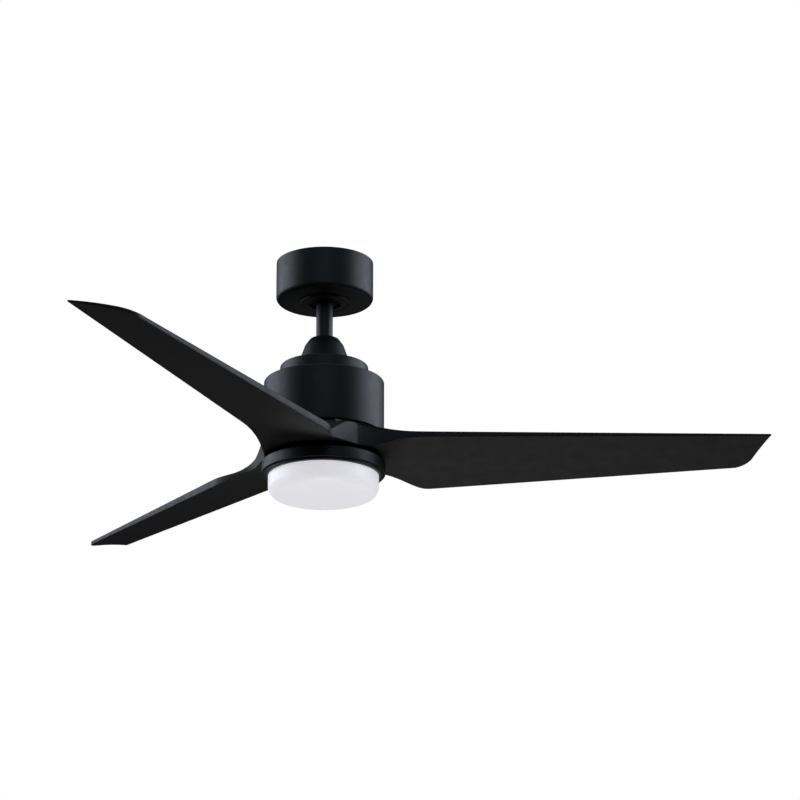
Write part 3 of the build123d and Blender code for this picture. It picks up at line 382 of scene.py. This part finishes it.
def makeTopCap():
    cap = {"wall": 1.2 * mm, "edge": 2.5 * mm, "hole": 22 * mm, "holeRound": 0.5 * mm, "foot": 0.3 * mm}
    low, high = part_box("motor_top_cap")
    outer, wall = high.x, cap["wall"]
    turnedPiece("motorTopCap", [
        (cap["hole"], high.z - wall, 0), (outer - wall, high.z - wall, cap["edge"] - wall),
        (outer - wall, low.z, 0), (outer, low.z, cap["foot"]), (outer, high.z, cap["edge"]),
        (cap["hole"], high.z, cap["holeRound"])],
        "hanger", "black_paint", "motor_top_cap")
    print("top cap made")


def makeHousing():
    housing = {"wall": 1.5 * mm, "edge": 2.5 * mm, "hem": 1.4 * mm, "innerHem": 0.4 * mm,
               "innerEdge": 1.0 * mm, "hole": 24.5 * mm}
    low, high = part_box("motor_housing")
    outer, wall = high.x, housing["wall"]
    turnedPiece("motorHousing", [
        (housing["hole"], high.z - wall, 0), (outer - wall, high.z - wall, housing["innerEdge"]),
        (outer - wall, low.z, housing["innerHem"]), (outer, low.z, housing["hem"]),
        (outer, high.z, housing["edge"]), (housing["hole"], high.z, 0)],
        "hanger", "black_paint", "motor_housing", segmentsWide)
    print("housing made")


def makeLightRing():
    # a band, a shadow groove under it and a bezel round the lens
    band = {"wall": 1.5 * mm, "edge": 1.2 * mm, "bezelHeight": 4.0 * mm, "bezelWidth": 6.4 * mm,
            "bezelEdge": 1.5 * mm, "groove": 0.8 * mm, "grooveRound": 0.2 * mm, "flange": 60 * mm,
            "lensGap": 0.3 * mm, "mouthRound": 0.4 * mm, "innerMouthRound": 0.3 * mm}
    low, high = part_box("light_ring")
    outer, wall = high.x, band["wall"]
    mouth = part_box("lens")[1].x + band["lensGap"]
    bezel = mouth + band["bezelWidth"]
    bandLow = low.z + band["bezelHeight"]
    grooveTop = bandLow + band["groove"]
    turnedPiece("lightRing", [
        (band["flange"], high.z - wall, 0), (outer - wall, high.z - wall, 0),
        (outer - wall, grooveTop + wall, 0), (bezel - wall, grooveTop + wall, 0),
        (bezel - wall, low.z + wall, 0), (mouth, low.z + wall, band["innerMouthRound"]),
        (mouth, low.z, band["mouthRound"]), (bezel, low.z, band["bezelEdge"]), (bezel, grooveTop, 0),
        (bezel + band["groove"], grooveTop, 0), (bezel + band["groove"], bandLow, band["grooveRound"]),
        (outer, bandLow, band["edge"]), (outer, high.z, band["edge"]), (band["flange"], high.z, 0)],
        "hanger", "black_paint", "light_ring", segmentsWide)
    print("light ring made")


lens = {"wall": 2.0 * mm, "corner": 15 * mm, "sag": 2.6125 * mm, "faceSteps": 16, "cornerSteps": 12}


def lensDome(reach, bottom, offset):
    # half the section: the face swells by a shallow circle, then turns up through the corner
    corner, sag = lens["corner"], lens["sag"]
    radius = (reach ** 2 + sag ** 2) / (2 * sag)
    start = math.asin(reach / radius)
    top, face = bottom + radius, radius - offset
    line = []
    for k in range(lens["faceSteps"] + 1):
        angle = start * k / lens["faceSteps"]
        line.append((face * math.sin(angle), top - face * math.cos(angle)))
    centre = Vector(((radius - corner) * math.sin(start), top - (radius - corner) * math.cos(start)))
    size = corner - offset
    for k in range(1, lens["cornerSteps"] + 1):
        angle = start + (math.pi / 2 - start) * k / lens["cornerSteps"]
        line.append((centre.x + size * math.sin(angle), centre.y - size * math.cos(angle)))
    return line


def makeLens():
    low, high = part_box("lens")
    edge, wall = high.x, lens["wall"]
    outside = lensDome(edge - lens["corner"], low.z, 0.0)
    inside = lensDome(edge - lens["corner"], low.z, wall)
    widest = edge / outside[-1][0]
    outline = [Vector((r * widest, z)) for r, z in outside]
    outline += [Vector((edge, high.z)), Vector((edge - wall, high.z))]
    outline += [Vector((r * widest, z)) for r, z in reversed(inside)]
    points, faces = turnedMesh(outline, segmentsRound)
    piece = newPiece("opalLens", points, faces, opalPolycarbonate, "lens", "lens")
    sharpen(piece, crease["lens"])
    print("lens made")


# millimetres and degrees; u runs out along the blade and v across it, cw is its front edge, ccw its rear
blade = {
    "hub": 93.0, "hubHeight": 36.0, "hubGap": 2.4, "wallInner": 89.0, "deckInner": 36.0, "deck": 5.6,
    "seam": -54.0, "seamGap": 1.4, "tip": 711.2, "cut": 70.3, "corner": 36.0, "edgeRound": 1.3,
    "pitchSlope": 0.246585, "rise": 3.1, "lift": 0.6,
    "cwOffset": -63.0, "cwSlope": 0.0886, "cwThick": (10.2, 3.4), "flareReach": 57.0, "cwFlarePower": 2.6,
    "ccwOffset": 113.0, "ccwSlope": -0.0323, "ccwThick": (13.8, 6.2), "ccwFlare": 36.0,
    "ccwFlareStart": 77.0, "ccwFlareLength": 80.0, "ccwFlarePower": 1.6,
    "camber": 2.0, "camberAtHub": 0.3,
}

# how far outside the hub each edge starts to turn into it, and over what length
bladeRoot = {
    "lowCw": (47, 76), "lowCcw": (72, 100), "highCw": (19, 62), "highCcw": (39, 94), "camber": (60, 100),
    "reachBelow": 16.0, "powerBelow": 2.0, "reachAbove": 26.0, "powerAbove": 2.6, "fade": 0.5,
}

# mesh lines: edge and tip steps count in edge rounds, root steps in millimetres out from the hub
bladeGrid = {
    "edge": (0.0, 0.12, 0.35, 0.7, 1.15), "inset": 1.6, "across": 44, "acrossFrom": 0.04, "acrossSpan": 0.92,
    "root": (0, 0.6, 1.6, 3, 5, 7.5, 10.5, 14, 18, 22.5, 27.5, 33, 39, 45.5, 52.5, 60, 68, 77, 87, 98, 110),
    "rootSpan": 300, "along": 52, "tip": (0.0, 0.12, 0.35, 0.7, 1.15, 3.0), "roundShare": 0.36,
}


def smooth(t):
    t = min(max(t, 0.0), 1.0)
    return t * t * (3 - 2 * t)


def cwEdge(u):
    b = blade
    seamU = b["hub"] * math.cos(math.radians(b["seam"]))
    seamV = b["hub"] * math.sin(math.radians(b["seam"]))
    flare = b["cwOffset"] + b["cwSlope"] * seamU - seamV
    share = max(0.0, (b["hub"] + b["flareReach"] - u) / (b["hub"] + b["flareReach"] - seamU))
    return b["cwOffset"] + b["cwSlope"] * u - flare * share ** b["cwFlarePower"]


def ccwEdge(u):
    b = blade
    seamU = b["hub"] * math.cos(math.radians(b["seam"] + 120))
    seamV = b["hub"] * math.sin(math.radians(b["seam"] + 120))
    back = seamV - (b["ccwOffset"] + b["ccwSlope"] * seamU - b["ccwFlare"])
    share = max(0.0, (b["hub"] - u) / (b["hub"] - seamU))
    flare = b["ccwFlare"] * smooth((b["hub"] + b["ccwFlareStart"] - u) / b["ccwFlareLength"])
    return b["ccwOffset"] + b["ccwSlope"] * u - flare + back * share ** b["ccwFlarePower"]


def bladeHeights(u, v, hubLow, hubHigh):
    # lower and upper surface heights at (u, v), in millimetres
    b = blade
    share = (u - b["hub"]) / (b["tip"] - b["hub"])
    left, right = cwEdge(u), ccwEdge(u)
    rise = math.tan(math.radians(b["rise"]))

    def plane(side):
        return hubLow + b["lift"] + rise * u - b["pitchSlope"] * side

    def toHub(wing, hub, blend):
        start, length = blend
        k = smooth((b["hub"] + start - u) / length)
        return wing * (1 - k) + hub * k

    def thick(pair):
        return pair[0] + (pair[1] - pair[0]) * share

    lowLeft = toHub(plane(left), hubLow, bladeRoot["lowCw"])
    lowRight = toHub(plane(right), hubLow, bladeRoot["lowCcw"])
    highLeft = toHub(plane(left) + thick(b["cwThick"]), hubHigh, bladeRoot["highCw"])
    highRight = toHub(plane(right) + thick(b["ccwThick"]), hubHigh, bladeRoot["highCcw"])
    t = (v - left) / (right - left)
    arch = toHub(b["camber"], b["camberAtHub"], bladeRoot["camber"]) * 4 * t * (1 - t)
    low = lowLeft + (lowRight - lowLeft) * t + arch
    high = highLeft + (highRight - highLeft) * t + arch
    radius = math.hypot(u, v)

    def nearHub(reach, power):
        return min(max(0.0, (b["hub"] + reach - radius) / reach) ** power, 1)

    below = nearHub(bladeRoot["reachBelow"], bladeRoot["powerBelow"])
    above = nearHub(bladeRoot["reachAbove"], bladeRoot["powerAbove"])
    return low + (hubLow - low) * below, high + (hubHigh - high) * above


def tipReach(v):
    # how far out the blade goes at v: a raked end that is rounded where it meets the rear edge
    b = blade
    slope = math.tan(math.radians(b["cut"]))
    cornerU = (slope * b["tip"] - b["ccwOffset"]) / (slope + b["ccwSlope"])
    rake = b["tip"] - v / slope
    edgeAngle = math.atan(b["ccwSlope"])
    turn = math.radians(b["cut"]) + edgeAngle
    # the corner circle touches the rear edge and the rake
    tangent = b["corner"] * math.tan(turn / 2)
    cornerV = slope * (b["tip"] - cornerU)
    touch = Vector((cornerU - tangent * math.cos(edgeAngle), cornerV - tangent * math.sin(edgeAngle)))
    centre = touch + Vector((math.sin(edgeAngle), -math.cos(edgeAngle))) * b["corner"]
    limit = centre.y + b["corner"] * math.sin(math.radians(90 - b["cut"]))
    if v <= limit:
        return rake
    return centre.x + math.sqrt(max(0.0, b["corner"] ** 2 - (v - centre.y) ** 2))


def bladeColumns():
    # each column is a rule that gives v from u: a fixed step in from one edge, or a share of the width
    grid = bladeGrid
    columns = [("cw", e * blade["edgeRound"]) for e in grid["edge"]]
    for k in range(1, grid["across"]):
        turn = math.pi * (grid["acrossFrom"] + grid["acrossSpan"] * k / grid["across"])
        columns.append(("share", 0.5 - 0.5 * math.cos(turn)))
    columns += [("ccw", e * blade["edgeRound"]) for e in reversed(grid["edge"])]
    return columns


def columnV(column, u):
    kind, value = column
    left, right = cwEdge(u), ccwEdge(u)
    if kind == "cw":
        return left + value
    if kind == "ccw":
        return right - value
    inset = bladeGrid["inset"] * blade["edgeRound"]
    return left + inset + (right - left - 2 * inset) * value


def columnEnds(column):
    # where the column leaves the hub circle and where it meets the tip outline
    low, high = 20.0, blade["hub"]
    for _ in range(40):
        u = (low + high) / 2
        if u * u + columnV(column, u) ** 2 < blade["hub"] ** 2:
            low = u
        else:
            high = u
    start = (low + high) / 2
    end = blade["tip"]
    for _ in range(30):
        end = 0.5 * end + 0.5 * tipReach(columnV(column, end))
    return start, end


def bladeStations(start, end):
    # the u of every mesh line of a column: close at the root, even along the blade, close at the tip
    grid = bladeGrid
    stations = [start + s * min(1.0, (end - start) / grid["rootSpan"]) for s in grid["root"]]
    tips = [end - s * blade["edgeRound"] for s in reversed(grid["tip"])]
    first, last = stations[-1], tips[0]
    return stations + [first + (last - first) * k / grid["along"] for k in range(1, grid["along"])] + tips


def bladeColumn(column, hubLow, hubHigh):
    # the lower and the upper line of one column, with the edges rounded off
    b = blade
    start, end = columnEnds(column)
    under, over = [], []
    for u in bladeStations(start, end):
        v = columnV(column, u)
        lowZ, highZ = bladeHeights(u, v, hubLow, hubHigh)
        size = min(b["edgeRound"], bladeGrid["roundShare"] * (highZ - lowZ))
        inward = min(v - cwEdge(u), ccwEdge(u) - v, end - u)
        part = 1 - min(max(inward / b["edgeRound"], 0.0), 1.0)
        inset = size * (1 - math.sqrt(max(0.0, 1 - part * part)))
        radius = math.hypot(u, v)
        if radius < b["hub"] + bladeRoot["fade"]:
            inset *= max(0.0, (radius - b["hub"]) / bladeRoot["fade"])
        under.append((u, v, lowZ + inset))
        over.append((u, v, highZ - inset))
    return under, over


def hubSection(u, v, hubLow, hubHigh):
    # the hub part of a column: in over the deck, then down the inner wall
    b = blade
    gap = math.degrees(b["seamGap"] / 2 / b["hub"])
    angle = math.atan2(v, u)
    angle = max(angle, math.radians(b["seam"] + gap))
    angle = min(angle, math.radians(b["seam"] + 120 - gap))
    corners = ((b["deckInner"], hubHigh), (b["deckInner"], hubHigh - b["deck"]),
               (b["wallInner"], hubHigh - b["deck"]), (b["wallInner"], hubLow))
    return [(radius * math.cos(angle), radius * math.sin(angle), z) for radius, z in corners]


def makeBlade(number, azimuth):
    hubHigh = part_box("motor_housing")[0].z / mm - blade["hubGap"]
    hubLow = hubHigh - blade["hubHeight"]
    points, loops = [], []
    for column in bladeColumns():
        under, over = bladeColumn(column, hubLow, hubHigh)
        loop = over[::-1] + hubSection(under[0][0], under[0][1], hubLow, hubHigh) + under
        loops.append(list(range(len(points), len(points) + len(loop))))
        points += loop
    size, count = len(loops[0]), len(under)
    faces = []
    for left, right in zip(loops, loops[1:]):
        for k in range(size):
            n = (k + 1) % size
            faces.append([left[k], left[n], right[n], right[k]])
    for loop, flip in ((loops[0], False), (loops[-1], True)):
        # side strip of the wing, then the end face of the hub part
        upper, lower = loop[:count][::-1], loop[-count:]
        for k in range(count - 1):
            face = [upper[k], upper[k + 1], lower[k + 1], lower[k]]
            faces.append(face if flip else face[::-1])
        end = loop[count - 1:count + 5]
        faces.append(end if flip else end[::-1])
    c, s = math.cos(math.radians(azimuth)), math.sin(math.radians(azimuth))
    points = [((x * c - y * s) * mm, (x * s + y * c) * mm, z * mm) for x, y, z in points]
    piece = newPiece("bladeShell" + str(number), points, faces, mouldedAbs, "rotor",
                     "blade_" + str(number))
    sharpen(piece, crease["blade"])


def makeBlades():
    for number, azimuth in ((1, 0), (2, 120), (3, 240)):
        makeBlade(number, azimuth)
    print("blades made")


def makeFloor():
    room = {"drop": 2.7, "size": 14.0}
    size, drop = room["size"], -room["drop"]
    mesh = bpy.data.meshes.new("floor")
    mesh.from_pydata([(-size, -size, drop), (size, -size, drop), (size, size, drop), (-size, size, drop)],
                     [], [(0, 1, 2, 3)])
    floor = bpy.data.objects.new("floor", mesh)
    bpy.context.scene.collection.objects.link(floor)
    # painted plaster, rolled on: a pale matt floor with its own faint light, so that it stays pale from above
    mesh.materials.append(surfaceMaterial("paleStudioFloor", {
        "dark": "#e4e4e2", "light": "#ececea", "mottle": 400, "glossSpot": 300, "rough": (0.7, 0.8),
        "ior": 1.45, "grain": 40, "relief": 0.02, "glow": 0.72, "glowColour": "#f4f4f2"}))
    floor.visible_glossy = False
    floor.visible_diffuse = False
    print("floor made")


def makeWorld():
    # white behind the fan, but only a faint cool light on it
    sky = {"seen": (1, 1, 1, 1), "seenStrength": 1.0, "cool": (0.93, 0.96, 1, 1), "coolStrength": 0.02}
    world = bpy.data.worlds.new("studio")
    bpy.context.scene.world = world
    world.use_nodes = True
    tree = world.node_tree
    tree.nodes.clear()
    seen = addNode(tree, "ShaderNodeLightPath").outputs["Is Camera Ray"]
    plain = addNode(tree, "ShaderNodeBackground", {
        "Color": sky["seen"], "Strength": sky["seenStrength"]}).outputs[0]
    dim = addNode(tree, "ShaderNodeBackground", {
        "Color": sky["cool"], "Strength": sky["coolStrength"]}).outputs[0]
    mix = addNode(tree, "ShaderNodeMixShader", {0: seen, 1: dim, 2: plain}).outputs[0]
    addNode(tree, "ShaderNodeOutputWorld", {"Surface": mix})
    print("world made")


# each softbox: place and target in metres, size in metres, power in watts
fan = (0, 0, -0.25)
softboxes = {
    "leftBox": {
        "place": (-2.6, 1.0, 0.75), "target": (0, 1.0, 0.75), "size": (3.2, 2.0), "power": 50,
        "colour": "#e9f1ff"},
    "rightBox": {
        "place": (2.6, 0.8, 0.75), "target": (0, 0.8, 0.75), "size": (3.0, 2.0), "power": 50,
        "colour": "#e9f1ff"},
    "overhead": {
        "place": (0, 0.3, 2.2), "target": fan, "size": (3.0, 3.0), "power": 16, "colour": "#ffffff"},
    "frontFill": {
        "place": (0, -4.0, 1.2), "target": fan, "size": (3.5, 2.2), "power": 14, "colour": "#cfeaff"},
    "backFill": {
        "place": (0.3, 1.6, -2.3), "target": fan, "size": (2.2, 1.4), "power": 5, "colour": "#ffffff"},
    "underFill": {
        "place": (0, -0.2, -2.6), "target": fan, "size": (0.8, 0.8), "power": 8, "colour": "#ffffff"},
}


def makeLights():
    for name, box in softboxes.items():
        lamp = bpy.data.lights.new(name, "AREA")
        lamp.shape = "RECTANGLE"
        lamp.size, lamp.size_y = box["size"]
        lamp.energy = box["power"]
        lamp.color = linearColour(box["colour"])[:3]
        light = bpy.data.objects.new(name, lamp)
        light.location = box["place"]
        aim = Vector(box["target"]) - Vector(box["place"])
        light.rotation_euler = aim.to_track_quat("-Z", "Y").to_euler()
        bpy.context.scene.collection.objects.link(light)
        light.visible_camera = False
    print("lights made")


def makeCamera():
    # a long lens from below, looking up at the fan
    view = {"place": (0.121115, -5.6475, -2.1425), "tilt": 108.685, "sensor": 36.0, "lens": 168.35,
            "reach": 100}
    camera = bpy.data.objects.new("camera", bpy.data.cameras.new("camera"))
    camera.location = view["place"]
    camera.rotation_euler = (math.radians(view["tilt"]), 0, 0)
    camera.data.sensor_width = view["sensor"]
    camera.data.lens = view["lens"]
    camera.data.clip_end = view["reach"]
    bpy.context.scene.collection.objects.link(camera)
    bpy.context.scene.camera = camera
    print("camera placed")


bpy.context.scene.view_settings.view_transform = "Standard"
makeCamera()
finishNodes()
canopyOpening = makeCanopy()
makeCanopyTrim(canopyOpening)
makeCouplingCover()
makeTopCap()
makeHousing()
makeLightRing()
makeLens()
makeBlades()
makeFloor()
makeWorld()
makeLights()
